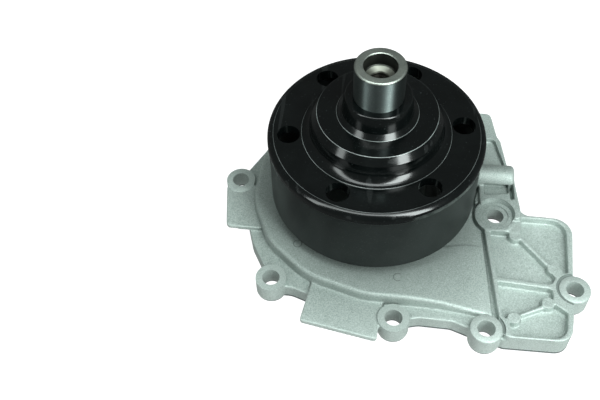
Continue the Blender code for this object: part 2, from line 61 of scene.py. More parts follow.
# Levels along the shaft's axis.
MATING_Z = 0.0
STOCK_BOTTOM = -2.0
MILLED_OFF = 0.8
PLATE_BOTTOM = -1.0
BOSS_BOTTOM = 2.0
FOOT_BOTTOM = 1.0
WEB_TOP = 7.5
LUG_TOP = 10.0
PLATE_TOP = 11.5
POCKET_FLOOR = 7.5
RECESS_FLOOR = 7.2
TROUGH_FLOOR = 11.0
SLOT_FLOOR = 7.5
BLOCK_TOP = 13.8
TOP_PLATE_BOTTOM = 5.0
LEFT_TAB_BOTTOM = 7.2
LEFT_TAB_TOP = 9.8
BOTTOM_TAB_BOTTOM = 6.2
BOTTOM_TAB_TOP = 9.2
ROOF_TOP = 15.0
ROOF_ROUND = 4.6
TERRACE_DEPTH = 0.5
CEILING = 11.0
CEILING_ROUND = 3.2
NECK_TOP = 56.0
PULLEY_BACK = 22.2
PULLEY_FACE = 65.0
BELL_CEILING = 73.5
HUB_DISC_TOP = 79.0
HUB_TOP = 90.5
SHAFT_END = 109.3
IMPELLER_END = -15.0

# Radii of turned and drilled shapes.
SHAFT_R = 12.4
SHAFT_REAR_R = 9.0
SLEEVE_R = 23.0
SLEEVE_BACK = 22.8
SEAL_SEAT_R = 19.3
PULLEY_R = 55.0
PULLEY_BODY_R = 54.4
PULLEY_WALL = 4.0
PULLEY_FACE_WALL = 5.0
RIM_ROUND = 3.0
BELL_ROUND = 3.0
BELL_STEP_R = 31.0
BELL_NECK_R = 24.6
FACE_FILLET = 5.0
HUB_R = 15.5
HUB_ROUND = 0.9
HUB_FOOT_R = 17.75
HUB_DISC_STEP_R = 20.35
HUB_DISC_R = 29.8
HUB_DISC_ROUND = 0.35
HUB_SKIRT_R = 32.6
PULLEY_HOLE_R = 5.8
PULLEY_HOLE_CIRCLE_R = 44.2
PULLEY_HOLES = 6
PULLEY_HOLE_ANGLE = 8.5
BOLT_HOLE_R = 4.5
LUG_R = 8.0
SPOT_FACE_R = 9.5
GAP = 0.3
GASKET_THICKNESS = 0.9
THREAD_PITCH = 1.5
THREAD_TURNS = 9
THREAD_CREST_R = 4.3
THREAD_ROOT_R = 4.9
END_RECESS_R = 8.1
END_RECESS_FLOOR_R = 7.5

# Bolt holes of the flange: x, y. The counterbored one stands beside the outlet.
LUGS = [(-74, 6), (-49, -57), (15, -75), (60.5, -77.5), (105.5, -51), (34.5, 56), (-36.5, 68.5)]
SPOT_FACED_LUGS = [3, 4]
RING_HOLE = (67, -8)
RING_BOSS_R = 11.2
RING_BOSS_TOP = 11.85
RING_GAP_WIDTH = 1.3
RING_RELIEF_R = 6.6
RING_RELIEF_TOP = 5.0
COUNTERBORE_R = 9.8
COUNTERBORE_FLOOR = 11.3
RING_SEAT_R = 7.0
RING_SEAT_Z = 10.8
VOLUTE_WALL = 2.8
WEEP_HOLE_R = 2.4
WEEP_HOLE_Z = 19.6

# The volute's roof leans down from here towards the outlet, by this share of its height per mm,
# and eases into the slope over this many mm.
SLOPE_START = 20.0
SLOPE = 0.008
SLOPE_EASE = 6.0
# The roof ends along this line: a point on it, and the direction that leaves the roof.
ROOF_END = (63.9, -69.5)
ROOF_END_NORMAL = (52.0, 4.7)

# Outlines in the mating plane: x, y, corner radius.
FLANGE = [
    (-71.5, 14, 5),
    (-61.5, 33, 40),
    (-57.5, 47, 20),
    (-48, 57, 8),
    (-43.5, 61, 2),
    (-30, 70.8, 2),
    (-10, 71.5, 20),
    (12, 61, 20),
    (28, 60.5, 2),
    (42, 50.5, 2),
    (48, 46.8, 6),
    (62.5, 46.3, 5),
    (66.3, 38, 5),
    (78.4, 12, 2),
    (80.3, -6.4, 6),
    (107.9, -7.1, 10),
    (105.3, -41, 2),
    (104.3, -62, 2),
    (101.6, -81.6, 8),
    (70, -81.5, 3),
    (52, -76, 4),
    (44, -73, 8),
    (28, -72.5, 8),
    (22, -74, 3),
    (6, -73, 3),
    (-2, -70.5, 6),
    (-22, -66.5, 30),
    (-38, -60.5, 10),
    (-43, -60.5, 2),
    (-54.5, -47.5, 3),
    (-62, -34, 20),
    (-68, -15, 40),
    (-69.5, -1, 5),
]
VOLUTE = [
    (29, -36.5, 1.5),
    (43, -19, 20),
    (48, 0, 25),
    (46, 20, 25),
    (33, 42, 25),
    (12, 55, 20),
    (-8, 65.5, 25),
    (-30, 65, 20),
    (-52, 46, 25),
    (-63, 20, 35),
    (-64.5, -10, 35),
    (-53, -37, 35),
    (-30, -57, 40),
    (0, -66, 40),
    (35, -65, 60),
    (65, -71, 7),
    (59, -26, 7),
    (48, -30, 20),
]
GASKET_OUTLET = [(73, -67, 3), (67.5, -26, 3)]
ROOF = [
    (54, 4, 6),
    (46, 20, 25),
    (33, 42, 25),
    (12, 55, 20),
    (-8, 65.5, 25),
    (-30, 65, 20),
    (-52, 46, 25),
    (-63, 20, 35),
    (-64.5, -10, 35),
    (-53, -37, 35),
    (-30, -57, 40),
    (0, -66, 40),
    (35, -66, 60),
    (76, -71.4, 7),
    (76, -12, 3),
    (57.5, -12, 2),
]
RIB_PLATE = [
    (60.8, -17, 1),
    (56.4, -12, 5),
    (56.4, 3, 5),
    (59, 12, 1),
    (78.4, 12, 2),
    (80.3, -6.4, 6),
    (107.9, -7.1, 10),
    (105.3, -41, 2),
    (104.3, -62, 2),
    (101.6, -81.6, 8),
    (70, -81.5, 3),
    (67.5, -76, 2),
]
TOP_PLATE = [
    (42, 40, 2),
    (56, 68.5, 5),
    (66.8, 68.5, 3.5),
    (70, 51, 1),
    (72, 47, 3),
    (74.8, 30, 2),
    (77, 20, 2),
    (50, 20, 2),
]
NORTH_BLOCK = [
    (58.5, -1, 1),
    (58.5, 24, 1),
    (77, 24, 2),
    (78.4, 10, 1),
    (80.2, -4, 2),
    (80, -11.5, 2),
    (67, -8, 1),
]
LEFT_TAB = [(-81.5, 3, 3), (-77.3, -26, 3), (-58, -26.3, 1), (-60, 3, 1)]
BOTTOM_TAB = [(-27, -52, 1), (-31.8, -80, 1.5), (7, -87.5, 1.5), (10, -60, 1)]
UPPER_POCKET = [
    (63.9, -18.3, 1),
    (66.2, -46.9, 2),
    (93.8, -49.1, 1.5),
    (96.4, -45, 1.5),
    (98.9, -42, 1),
    (102.8, -41.5, 1),
    (104.4, -8.4, 8.5),
    (80.7, -8.4, 1.5),
    (80, -18.3, 0.3),
]
LOWER_POCKET = [
    (66.8, -49.7, 0.8),
    (68.3, -70.3, 2),
    (71.4, -70.9, 1),
    (73, -80.1, 2),
    (99.2, -80.1, 7),
    (100.9, -65.2, 1.5),
    (95.2, -61, 0.6),
    (94.3, -57.5, 1),
    (94.3, -51.9, 2),
]
RECESS = [(50, 48.5, 1), (68.5, 48.5, 3), (73, 31, 1), (73.4, 23, 1), (50, 23, 1)]
TROUGH = [(61, 4.2, 0.5), (61, 13, 0.5), (74.3, 13, 0.5), (74.3, 6.2, 0.5)]
SLOT = [(74.9, 2.2, 1.1), (77.3, 2.2, 1.1), (77.1, 13, 0.5), (74.8, 13, 0.5)]
TERRACE = [
    (38, -32.3, 1),
    (45, -30.2, 10),
    (50, -28.8, 10),
    (60.1, -28.2, 0.3),
    (59.3, -18, 1),
    (56.3, -12, 2),
    (50, 2, 2),
    (40, -10, 2),
]
UPPER_RIB = [(79.1, -22, 0.3), (80.9, -20.5, 0.3), (95, -37.8, 0.3), (93.2, -39.3, 0.3)]
UPPER_LINK = [(94.4, -42, 0.3), (97, -46.4, 0.3), (101, -44, 0.3), (99, -38.5, 0.3)]
LOWER_RIB = [(76, -69.4, 0.3), (77, -67.6, 0.3), (89.5, -60.8, 0.3), (90.4, -62.6, 0.3)]
EJECTOR_PAD_R = 3.2
EJECTOR_PADS = [(77, -20.2), (95.6, -39.5), (91.5, -60.2), (74.2, -70.2)]
MOAT_SEAT = 11.2
ROOF_MARKS = [(-37, -38), (16, -54)]
MARK_INNER_R = 2.0
MARK_OUTER_R = 2.45
MARK_DEPTH = 0.25
SIDE_BOSS_Y = 17.5
SIDE_BOSS_Z = 12.8
SIDE_BOSS_R = 7.0
SIDE_BOSS_START = 48.0
SIDE_BOSS_END = 77.2
SIDE_BOSS_ROUND = 2.2
BOSS_FOOT = [(59.5, 11, 0.5), (59.5, 24, 0.5), (76.8, 24, 1), (77.2, 11, 1)]

# How fine the meshes are.
ARC_STEP = 8.0
CIRCLE_SIDES = 64
TURNED_SIDES = 160
SHAFT_SIDES = 128
SMALL_SIDES = 64
MERGE = 1e-7
CAST_VOXEL = 0.45
CAST_SMOOTHING = 3
CAST_TRIANGLES = 190000


# ---------------------------------------------------------------- mesh helpers


def place(name, shape, surface=None, sharp=35.0):
    """An object of this bmesh, at the origin, with faces pointing out."""
    bmesh.ops.remove_doubles(shape, verts=shape.verts, dist=MERGE)
    bmesh.ops.recalc_face_normals(shape, faces=shape.faces)
    mesh = bpy.data.meshes.new(name)
    shape.to_mesh(mesh)
    shape.free()
    made = bpy.data.objects.new(name, mesh)
    bpy.context.scene.collection.objects.link(made)
    if surface:
        mesh.materials.append(surface)
        shade(made, sharp)
    return made


def shade(piece, sharp):
    """Smooth shading that breaks at edges sharper than this, in degrees."""
    piece.data.shade_smooth()
    piece.data.set_sharp_from_angle(angle=math.radians(sharp))


def give(piece, *surfaces):
    """The piece has these materials and no others."""
    piece.data.materials.clear()
    for surface in surfaces:
        piece.data.materials.append(surface)


def apply_modifiers(piece):
    """The piece's mesh becomes what its modifiers make of it."""
    graph = bpy.context.evaluated_depsgraph_get()
    old = piece.data
    piece.data = bpy.data.meshes.new_from_object(piece.evaluated_get(graph))
    piece.modifiers.clear()
    bpy.data.meshes.remove(old)


def combine(target, tools, operation):
    """The target with these tools joined to it or cut from it. The tools are used up."""
    for tool in tools:
        boolean = target.modifiers.new(tool.name, "BOOLEAN")
        boolean.operation = operation
        boolean.solver = "MANIFOLD"
        boolean.object = tool
    apply_modifiers(target)
    for tool in tools:
        bpy.data.objects.remove(tool)


def drop_crumbs(piece, fewest=200):
    """Removes the small loose bits that cutting leaves, and closes seams."""
    shape = bmesh.new()
    shape.from_mesh(piece.data)
    bmesh.ops.remove_doubles(shape, verts=shape.verts, dist=MERGE)
    waiting = set(shape.faces)
    crumbs = []
    while waiting:
        island = [waiting.pop()]
        for face in island:
            for near in (other for edge in face.edges for other in edge.link_faces):
                if near in waiting:
                    waiting.remove(near)
                    island.append(near)
        if len(island) < fewest:
            crumbs += island
    bmesh.ops.delete(shape, geom=crumbs, context="FACES")
    bmesh.ops.dissolve_degenerate(shape, dist=MERGE, edges=shape.edges)
    shape.to_mesh(piece.data)
    shape.free()


def rounded(outline, arc_step=ARC_STEP):
    """The outline's points in the plane, with every corner turned into an arc of its radius."""
    points = []
    count = len(outline)
    for index, (x, y, radius) in enumerate(outline):
        corner = Vector((x, y))
        before = Vector(outline[index - 1][:2]) - corner
        after = Vector(outline[(index + 1) % count][:2]) - corner
        half = before.angle(after) / 2
        reach = min(radius / math.tan(half), 0.48 * before.length, 0.48 * after.length)
        radius = reach * math.tan(half)
        inwards = (before.normalized() + after.normalized()).normalized()
        middle = corner + inwards * radius / math.sin(half)
        start = corner + before.normalized() * reach - middle
        turn = -start.angle_signed(corner + after.normalized() * reach - middle)
        steps = max(1, math.ceil(abs(math.degrees(turn)) / arc_step))
        for step in range(steps + 1):
            points.append(middle + Matrix.Rotation(turn * step / steps, 2) @ start)
    return points


def offset(points, distance):
    """The closed line moved outwards by a distance, or inwards when it is negative."""
    count = len(points)
    area = sum(points[i - 1].cross(points[i]) for i in range(count))
    side = distance if area > 0 else -distance
    moved = []
    for index, point in enumerate(points):
        one = (point - points[index - 1]).normalized()
        two = (points[(index + 1) % count] - point).normalized()
        normal = Vector((one.y + two.y, -one.x - two.x)).normalized()
        stretch = max(0.5, normal.dot(Vector((one.y, -one.x))))
        moved.append(point + normal * side / stretch)
    return moved


def circle(x, y, radius, sides=CIRCLE_SIDES):
    """An outline: a circle about x, y."""
    angles = [2 * math.pi * step / sides for step in range(sides)]
    return [Vector((x + radius * math.cos(a), y + radius * math.sin(a))) for a in angles]


def curved_slot(x, y, inner, outer, start, end, steps=16):
    """An outline between two arcs about a centre, with angles in degrees."""
    angles = [math.radians(start + (end - start) * step / steps) for step in range(steps + 1)]
    points = [Vector((x + outer * math.cos(a), y + outer * math.sin(a))) for a in angles]
    points += [Vector((x + inner * math.cos(a), y + inner * math.sin(a))) for a in reversed(angles)]
    return points


def round_rim(shape, level, radius, segments):
    """Rounds the edges that lie above a level, in metres."""
    rim = [edge for edge in shape.edges if all(vert.co.z > level for vert in edge.verts)]
    bmesh.ops.bevel(
        shape,
        geom=rim,
        offset=radius * MM,
        offset_type="OFFSET",
        segments=segments,
        profile=0.5,
        affect="EDGES",
        clamp_overlap=True,
        material=-1,
    )


def prism(name, points, bottom, top, round_top=0.0, segments=5, surface=None):
    """The outline extruded from one level to another, with its top edge rounded."""
    shape = bmesh.new()
    corners = [shape.verts.new((p.x * MM, p.y * MM, bottom * MM)) for p in points]
    floor = shape.faces.new(corners)
    raised = bmesh.ops.extrude_face_region(shape, geom=[floor], use_keep_orig=True)["geom"]
    lifted = [item for item in raised if isinstance(item, bmesh.types.BMVert)]
    bmesh.ops.translate(shape, verts=lifted, vec=(0, 0, (top - bottom) * MM))
    bmesh.ops.recalc_face_normals(shape, faces=shape.faces)
    if round_top:
        round_rim(shape, (top - 1e-4) * MM, round_top, segments)
    return place(name, shape, surface)


def disc(name, x, y, radius, bottom, top):
    """An upright round bar from one level to another."""
    return prism(name, circle(x, y, radius), bottom, top)


def turned(name, profile, surface=None, sides=TURNED_SIDES, sharp=35.0):
    """A profile of (radius, z) spun round Z. Its last point joins its first."""
    shape = bmesh.new()
    corners = [shape.verts.new((radius * MM, 0.0, z * MM)) for radius, z in profile]
    for index, corner in enumerate(corners):
        if corner.co.x > 1e-9 or corners[index - 1].co.x > 1e-9:
            shape.edges.new((corners[index - 1], corner))
    bmesh.ops.spin(
        shape,
        geom=shape.verts[:] + shape.edges[:],
        axis=(0, 0, 1),
        cent=(0, 0, 0),
        angle=2 * math.pi,
        steps=sides,
        use_merge=True,
    )
    return place(name, shape, surface, sharp)


def turned_at(name, x, y, profile, sides=SMALL_SIDES):
    """A turned cutter that stands at x, y."""
    made = turned(name, profile, None, sides)
    made.data.transform(Matrix.Translation((x * MM, y * MM, 0)))
    return made


def arc(centre, radius, start, end, steps=6):
    """Points of (radius, z) along an arc of a profile, from one angle to another in degrees."""
    points = []
    for step in range(steps + 1):
        angle = math.radians(start + (end - start) * step / steps)
        points.append((centre[0] + radius * math.cos(angle), centre[1] + radius * math.sin(angle)))
    return points


def bar(name, start, end, radius, round_end=0.0, sides=CIRCLE_SIDES):
    """A round bar from one point to another, with its far end's edge rounded."""
    axis = Vector(end) - Vector(start)
    shape = bmesh.new()
    bmesh.ops.create_cone(
        shape,
        cap_ends=True,
        segments=sides,
        radius1=radius * MM,
        radius2=radius * MM,
        depth=axis.length * MM,
    )
    if round_end:
        round_rim(shape, axis.length * MM * 0.49, round_end, 6)
    turn = axis.to_track_quat("Z", "Y").to_matrix().to_4x4()
    move = Matrix.Translation((Vector(start) + Vector(end)) * 0.5 * MM) @ turn
    bmesh.ops.transform(shape, matrix=move, verts=shape.verts)
    return place(name, shape)


# ---------------------------------------------------------------- shader helpers


class Wire:
    """A socket of a material's node tree. Arithmetic on it adds Math nodes."""

    def __init__(self, finish, socket):
        self.finish = finish
        self.socket = socket

    def maths(self, operation, *values):
        return self.finish.node("ShaderNodeMath", {"operation": operation}, list(values))

    def __add__(self, other):
        return self.maths("ADD", self, other)

    def __radd__(self, other):
        return self.maths("ADD", other, self)

    def __sub__(self, other):
        return self.maths("SUBTRACT", self, other)

    def __rsub__(self, other):
        return self.maths("SUBTRACT", other, self)

    def __mul__(self, other):
        return self.maths("MULTIPLY", self, other)

    def __rmul__(self, other):
        return self.maths("MULTIPLY", other, self)

    def __pow__(self, other):
        return self.maths("POWER", self, other)

    def __gt__(self, other):
        return self.maths("GREATER_THAN", self, other)

    def __lt__(self, other):
        return self.maths("LESS_THAN", self, other)

    def __abs__(self):
        return self.maths("ABSOLUTE", self)

    def clamped(self):
        return self.finish.node("ShaderNodeClamp", {}, [self, 0.0, 1.0])

    def ramp(self, low, high, to_low=0.0, to_high=1.0):
        """This value carried from the range low..high to another, and held inside it."""
        values = [self, low, high, to_low, to_high]
        return self.finish.node("ShaderNodeMapRange", {"clamp": True}, values)


class Finish:
    """A material with one Principled shader, whose nodes are added by method node."""

    def __init__(self, name, **constants):
        self.material = bpy.data.materials.new(name)
        self.material.use_nodes = True
        self.tree = self.material.node_tree
        self.shader = self.tree.nodes["Principled BSDF"]
        self.set(**constants)

    def set(self, **values):
        """Sets or links the shader's sockets, named in words joined by underscores."""
        for name, value in values.items():
            self.feed(self.shader.inputs[name.replace("_", " ")], value)

    def feed(self, socket, value):
        if isinstance(value, Wire):
            self.tree.links.new(value.socket, socket)
        elif isinstance(value, (tuple, list)) and socket.type == "RGBA":
            socket.default_value = (*value, 1.0)[:4]
        else:
            socket.default_value = value

    def node(self, kind, settings=None, sockets=None, output=0):
        """A node of this kind. Its sockets get values or links, by order or by name."""
        made = self.tree.nodes.new(kind)
        for name, value in (settings or {}).items():
            setattr(made, name, value)
        named = sockets.items() if isinstance(sockets, dict) else enumerate(sockets or [])
        for key, value in named:
            if value is not None:
                self.feed(made.inputs[key], value)
        return Wire(self, made.outputs[output])

    def coordinates(self, scale=(1, 1, 1)):
        """Object coordinates, stretched by this scale."""
        spot = self.node("ShaderNodeTexCoord", {}, [], "Object")
        if tuple(scale) == (1, 1, 1):
            return spot
        return self.node("ShaderNodeVectorMath", {"operation": "MULTIPLY"}, [spot, tuple(scale)])

    def noise(self, scale, detail=3.0, roughness=0.5, stretch=(1, 1, 1)):
        sockets = {"Vector": self.coordinates(stretch), "Scale": scale}
        sockets.update(Detail=detail, Roughness=roughness)
        return self.node("ShaderNodeTexNoise", {}, sockets, "Fac")

    def rings(self, scale, detail):
        """Noise that changes along Z alone, like the marks of turning or grinding."""
        sockets = {"W": self.axes()[2], "Scale": scale, "Detail": detail}
        return self.node("ShaderNodeTexNoise", {"noise_dimensions": "1D"}, sockets, "Fac")

    def axes(self):
        """The object coordinates' x, y and z, each as a value."""
        split = self.node("ShaderNodeSeparateXYZ", {}, [self.coordinates()])
        outputs = split.socket.node.outputs
        return [Wire(self, outputs[index]) for index in range(3)]

    def axis_distance(self):
        """The distance from the shaft's axis, in metres."""
        x, y, _ = self.axes()
        return (x * x + y * y) ** 0.5

    def mix(self, share, low, high):
        """One colour turning into another as share goes from 0 to 1."""
        made = self.tree.nodes.new("ShaderNodeMix")
        made.data_type = "RGBA"
        self.feed(made.inputs["Factor"], share)
        self.feed(made.inputs[6], low)
        self.feed(made.inputs[7], high)
        return Wire(self, made.outputs[2])

    def bump(self, height, strength, distance):
        """A normal from this height, with the distance in millimetres."""
        sockets = {"Height": height, "Strength": strength, "Distance": distance * MM}
        return self.node("ShaderNodeBump", {}, sockets)


def cast_aluminium():
    """Blasted die casting: fine sparkling grain, brighter edges from wear and painted highlights,
    painted shade in the corners, and painted shadow round and under the pulley.
    """
    made = Finish("cast_aluminium", Metallic=0.4, IOR=1.45)
    grain = made.noise(1400, 2, 0.6)
    speck = made.noise(1900, 1, 0.5)
    mottle = made.noise(300, 3, 0.55)
    cloud = made.noise(38, 2, 0.5)
    edge = made.node("ShaderNodeNewGeometry", {}, [], "Pointiness")
    raised = edge.ramp(0.51, 0.57)
    sunk = edge.ramp(0.49, 0.43)
    radius = made.axis_distance()
    near_pulley = radius.ramp(0.090, 0.054)
    under_pulley = radius.ramp(0.050, 0.042)
    dull_skin = (0.34, 0.405, 0.375)
    clean_skin = (0.41, 0.475, 0.445)
    grain_tone = (0.56, 0.63, 0.60)
    glint = (0.72, 0.78, 0.75)
    pit = (0.19, 0.23, 0.215)
    rubbed_edge_and_highlight = (0.56, 0.62, 0.59)
    corner_shade = (0.11, 0.135, 0.125)
    shadow = (0.06, 0.075, 0.068)
    deep_shadow = (0.010, 0.012, 0.011)
    body = made.mix((mottle * 0.5 + cloud * 0.5).ramp(0.35, 0.65), dull_skin, clean_skin)
    body = made.mix(grain.ramp(0.40, 0.62) * 0.65, body, grain_tone)
    body = made.mix(speck.ramp(0.58, 0.72) * 0.45, body, glint)
    body = made.mix(speck.ramp(0.42, 0.30) * 0.45, body, pit)
    # brighter convex edges: partly rubbed wear, partly painted highlight
    body = made.mix(raised * 0.3, body, rubbed_edge_and_highlight)
    # painted shade: concave corners and creases darkened
    body = made.mix(sunk * 0.7, body, corner_shade)
    # painted shadow: darker round the pulley, where the pulley shades the casting
    body = made.mix(near_pulley * 0.60, body, shadow)
    # painted shade: near black under the pulley
    body = made.mix(under_pulley * 0.9, body, deep_shadow)
    made.set(
        Base_Color=body,
        Roughness=(0.42 + 0.14 * mottle + 0.10 * grain).clamped(),
        Normal=made.bump(grain * 0.6 + speck * 0.3 + mottle * 0.3, 0.55, 0.14),
    )
    return made.material


def machined_aluminium():
    """A milled face: straight, faint cutter lines and a brighter metal."""
    made = Finish("machined_aluminium", Metallic=0.9)
    along_cut = (1, 0.05, 1)
    lines = made.noise(900, 2, 0.5, along_cut)
    tone = made.mix(lines.ramp(0.3, 0.7), (0.52, 0.55, 0.53), (0.66, 0.68, 0.66))
    made.set(Base_Color=tone, Roughness=0.26 + 0.14 * lines, Normal=made.bump(lines, 0.15, 0.05))
    return made.material


# Radii of the pulley's turned edges, where thin painted highlights run, and how strong each is.
EDGE_LINES = [(20.25, 0.6), (29.95, 0.9), (37.65, 0.6), (51.95, 0.4)]


def gloss_black():
    """The pulley's black coat: a deep gloss with orange peel, dust specks, a few fine scratches, and
    painted highlights along its turned edges.
    """
    made = Finish("gloss_black", IOR=1.55)
    radius = made.axis_distance()
    y = made.axes()[1]
    peel = made.noise(260, 2, 0.5)
    dust = made.noise(60, 4, 0.6)
    speck = made.noise(1400, 2, 0.5)
    along_scratch = (1, 0.06, 1)
    scratch = made.noise(240, 1, 0.4, along_scratch).ramp(0.70, 0.72)
    clean_coat = (0.0012, 0.0020, 0.0020)
    dusty_coat = (0.0030, 0.0042, 0.0042)
    speck_tone = (0.05, 0.06, 0.06)
    scratch_tone = (0.05, 0.055, 0.055)
    edge_highlight_tone = (0.34, 0.38, 0.37)
    body = made.mix(dust.ramp(0.45, 0.75), clean_coat, dusty_coat)
    body = made.mix(speck.ramp(0.68, 0.74) * 0.5, body, speck_tone)
    body = made.mix(scratch * 0.15, body, scratch_tone)
    # painted highlights: thin bright lines on the turned edges, stronger on the front (-Y) side, varied
    # by the dust noise
    front_side = y.ramp(0.015, -0.015, 0.08, 1.0)
    edge_highlight_share = (dust.ramp(0.40, 0.60) * 0.5 + 0.5) * front_side
    for edge, strength in EDGE_LINES:
        line = abs(radius - edge * MM).ramp(0.00018, 0.00006)
        body = made.mix(line * edge_highlight_share * strength, body, edge_highlight_tone)
    made.set(
        Base_Color=body,
        Roughness=(0.13 + 0.06 * dust + 0.05 * scratch).clamped(),
        Normal=made.bump(peel, 0.05, 0.05),
    )
    return made.material


def belt_track():
    """The belt's track round the pulley: a satin coat over fine turning lines, dusty in places."""
    made = Finish("belt_track", Specular_IOR_Level=0.12)
    rings = made.rings(5200, 2.0)
    dust = made.noise(55, 4, 0.6)
    speck = made.noise(1500, 2, 0.5)
    clean_coat = (0.0055, 0.0075, 0.0072)
    dusty_coat = (0.0110, 0.0135, 0.0130)
    ring_tone = (0.016, 0.019, 0.018)
    speck_tone = (0.04, 0.046, 0.044)
    body = made.mix(dust.ramp(0.35, 0.68), clean_coat, dusty_coat)
    body = made.mix(rings.ramp(0.4, 0.7) * 0.4, body, ring_tone)
    body = made.mix(speck.ramp(0.62, 0.75) * 0.6, body, speck_tone)
    made.set(
        Base_Color=body,
        Roughness=(0.26 + 0.08 * rings + 0.10 * dust).clamped(),
        Normal=made.bump(rings * 0.5 + speck * 0.3, 0.10, 0.05),
    )
    return made.material


def ground_steel():
    """Round-ground steel: rings of fine grinding marks that draw its highlights out along the shaft."""
    made = Finish("ground_steel", Metallic=1.0, Anisotropic=0.95, Anisotropic_Rotation=0.25)
    marks = made.rings(9000, 3.0)
    cloud = made.noise(90, 3, 0.5)
    speck = made.noise(1300, 2, 0.55)
    dark_steel = (0.100, 0.125, 0.122)
    light_steel = (0.135, 0.163, 0.158)
    mark_tone = (0.24, 0.27, 0.265)
    glint = (0.36, 0.39, 0.38)
    tone = made.mix(cloud.ramp(0.35, 0.65), dark_steel, light_steel)
    tone = made.mix(marks.ramp(0.35, 0.75) * 0.3, tone, mark_tone)
    tone = made.mix(speck.ramp(0.58, 0.72) * 0.35, tone, glint)
    made.set(
        Base_Color=tone,
        Roughness=0.42 + 0.08 * marks,
        Normal=made.bump(marks * 0.5 + speck * 0.5, 0.12, 0.03),
    )
    return made.material


def turned_steel():
    """The shaft's turned end and its recess: duller, brownish steel, with painted shade on the recess's
    wall and down in the thread.
    """
    made = Finish("turned_steel", Metallic=1.0)
    radius = made.axis_distance()
    z = made.axes()[2]
    depth = (SHAFT_END * MM - z).ramp(0.0083, 0.0092) * 0.93
    wall = (radius > 7.4 * MM) * (radius < 8.3 * MM) * (z < (SHAFT_END - 0.4) * MM)
    grain = made.noise(1500, 3, 0.55)
    cloud = made.noise(160, 3, 0.5)
    dark_steel = (0.36, 0.40, 0.36)
    light_steel = (0.48, 0.52, 0.47)
    glint = (0.66, 0.69, 0.64)
    recess_floor_tone = (0.17, 0.17, 0.14)
    recess_wall_shade = (0.020, 0.021, 0.018)
    thread_shade = (0.020, 0.018, 0.015)
    body = made.mix(cloud.ramp(0.35, 0.65), dark_steel, light_steel)
    body = made.mix(grain.ramp(0.45, 0.72) * 0.5, body, glint)
    # darker, brownish steel within the recess floor's radius
    body = made.mix((radius < END_RECESS_FLOOR_R * MM) * 0.8, body, recess_floor_tone)
    # painted shade: the recess's wall darkened
    body = made.mix(wall * 0.93, body, recess_wall_shade)
    # painted shade: darker down in the thread
    body = made.mix(depth, body, thread_shade)
    made.set(
        Base_Color=body,
        Roughness=(0.36 + 0.16 * grain).clamped(),
        Normal=made.bump(grain * 0.7 + cloud * 0.3, 0.30, 0.06),
    )
    return made.material


def plain_metal(name, low, high, roughness, scale=600):
    """Clean metal with fine grain between two tones."""
    made = Finish(name, Metallic=1.0)
    grain = made.noise(scale, 3, 0.5)
    made.set(
        Base_Color=made.mix(grain.ramp(0.3, 0.7), low, high),
        Roughness=roughness + 0.10 * grain,
        Normal=made.bump(grain, 0.08, 0.04),
    )
    return made.material


def dull(name, low, high, roughness, scale=900, depth=0.15):
    """Rubber, plastic, carbon or card: grain between two tones."""
    made = Finish(name)
    grain = made.noise(scale, 3, 0.55)
    made.set(
        Base_Color=made.mix(grain.ramp(0.3, 0.7), low, high),
        Roughness=(roughness + 0.12 * grain).clamped(),
        Normal=made.bump(grain, depth, 0.06),
    )
    return made.material


# ---------------------------------------------------------------- the casting


def lean(piece, trim=False):
    """The piece's upper side leans down towards the outlet, and the roof ends in an upright face."""
    shape = bmesh.new()
    shape.from_mesh(piece.data)
    for x in range(12, 60, 4):
        everything = shape.verts[:] + shape.edges[:] + shape.faces[:]
        line = (x * MM, 0, 0)
        bmesh.ops.bisect_plane(shape, geom=everything, plane_co=line, plane_no=(1, 0, 0), dist=MERGE)
    for corner in shape.verts:
        past = corner.co.x / MM - SLOPE_START
        corner.co.z *= 1 - SLOPE * (past + math.hypot(past, SLOPE_EASE)) / 2
    if trim:
        everything = shape.verts[:] + shape.edges[:] + shape.faces[:]
        cut = bmesh.ops.bisect_plane(
            shape,
            geom=everything,
            plane_co=(ROOF_END[0] * MM, ROOF_END[1] * MM, 0),
            plane_no=(*ROOF_END_NORMAL, 0),
            dist=MERGE,
            clear_outer=True,
        )
        rim = [item for item in cut["geom_cut"] if isinstance(item, bmesh.types.BMEdge)]
        bmesh.ops.holes_fill(shape, edges=rim, sides=0)
        bmesh.ops.recalc_face_normals(shape, faces=shape.faces)
    shape.to_mesh(piece.data)
    shape.free()
    return piece


